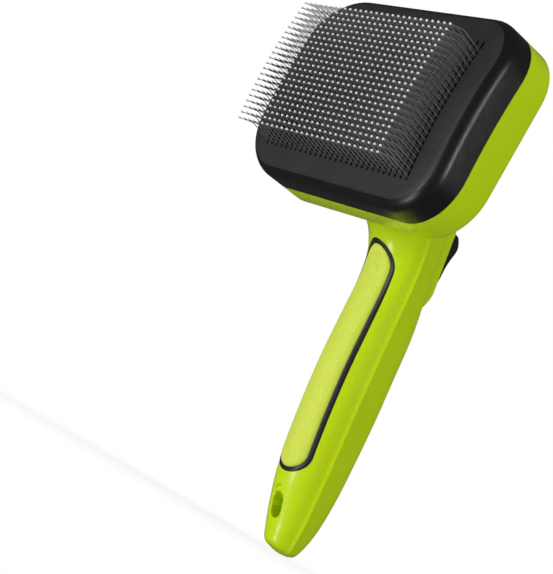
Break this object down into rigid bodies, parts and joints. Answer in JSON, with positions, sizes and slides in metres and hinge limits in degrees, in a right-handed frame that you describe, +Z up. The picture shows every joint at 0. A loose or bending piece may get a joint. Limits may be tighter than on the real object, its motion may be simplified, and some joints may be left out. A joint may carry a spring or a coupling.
{
  "type": "self-cleaning slicker brush",
  "caption": "Pet grooming brush: a wide slotted head with a field of bent wire pins, which a thumb button on the back-swept handle draws back to release the hair.",
  "frame": {"origin": "centre of the bounding box's base: the handle's tip stands on Z = 0, and X = 0 is the plane of symmetry", "axes": "+Z up the handle to the head, -Y the way the pins point, +Y towards the thumb button"},
  "size_m": [0.1, 0.0854, 0.1806],
  "materials": {
    "cover_black": "satin face with a glossy skirt",
    "lime_gloss": "high gloss",
    "cushion_rubber": "matt",
    "nylon_grey": "matt",
    "nylon_ivory": "matt",
    "pin_wire": "bright drawn wire",
    "pin_tip": "smooth epoxy bead",
    "spring_steel": "bright",
    "screw_steel": "zinc",
    "button_grey": "satin",
    "grip_black_gloss": "smooth, soft gloss",
    "grip_lime_soft": "fine matt texture",
    "grip_black_textured": "rows of fine raised dots"
  },
  "bodies": {
    "body": {"front_cover": "cover_black", "head_tray": "lime_gloss", "carrier_springs": "spring_steel", "lever_pin": "spring_steel", "button_spring": "spring_steel", "button_housing": "lime_gloss", "handle_front_shell": "lime_gloss", "handle_back_shell": "lime_gloss", "front_grip_border": "grip_black_gloss", "front_grip_pad": "grip_lime_soft", "back_grip_frame": "grip_black_gloss", "back_grip_upper": "grip_black_textured", "back_grip_lower": "grip_black_textured", "neck_screws": "screw_steel", "handle_screws": "screw_steel"},
    "carrier": {"pin_carrier": "nylon_grey", "pin_cushion": "cushion_rubber", "pins": "pin_wire"},
    "rocker": {"rocker_lever": "nylon_ivory"},
    "button": {"push_button": "button_grey"}
  },
  "joints": [
    {"name": "carrier_slide", "type": "slide", "parent": "body", "child": "carrier", "axis": [0, 1, 0], "range_m": [0, 0.0047], "stiffness_N_per_m": 600, "springref_m": -0.004, "deforming": ["carrier_springs"]},
    {"name": "button_press", "type": "slide", "parent": "body", "child": "button", "axis": [0, -0.9781, -0.2079], "range_m": [0, 0.0032], "stiffness_N_per_m": 200, "springref_m": -0.003, "deforming": ["button_spring"]},
    {"name": "rocker_swing", "type": "hinge", "parent": "body", "child": "rocker", "pos_m": [0, 0.01273, 0.1253], "axis": [-1, 0, 0], "range_deg": [0, 12.05]}
  ],
  "couplings": [
    {"joint": "button_press", "follows": "carrier_slide", "ratio": 0.68085},
    {"joint": "rocker_swing", "follows": "carrier_slide", "rad_per_m": 44.56}
  ]
}
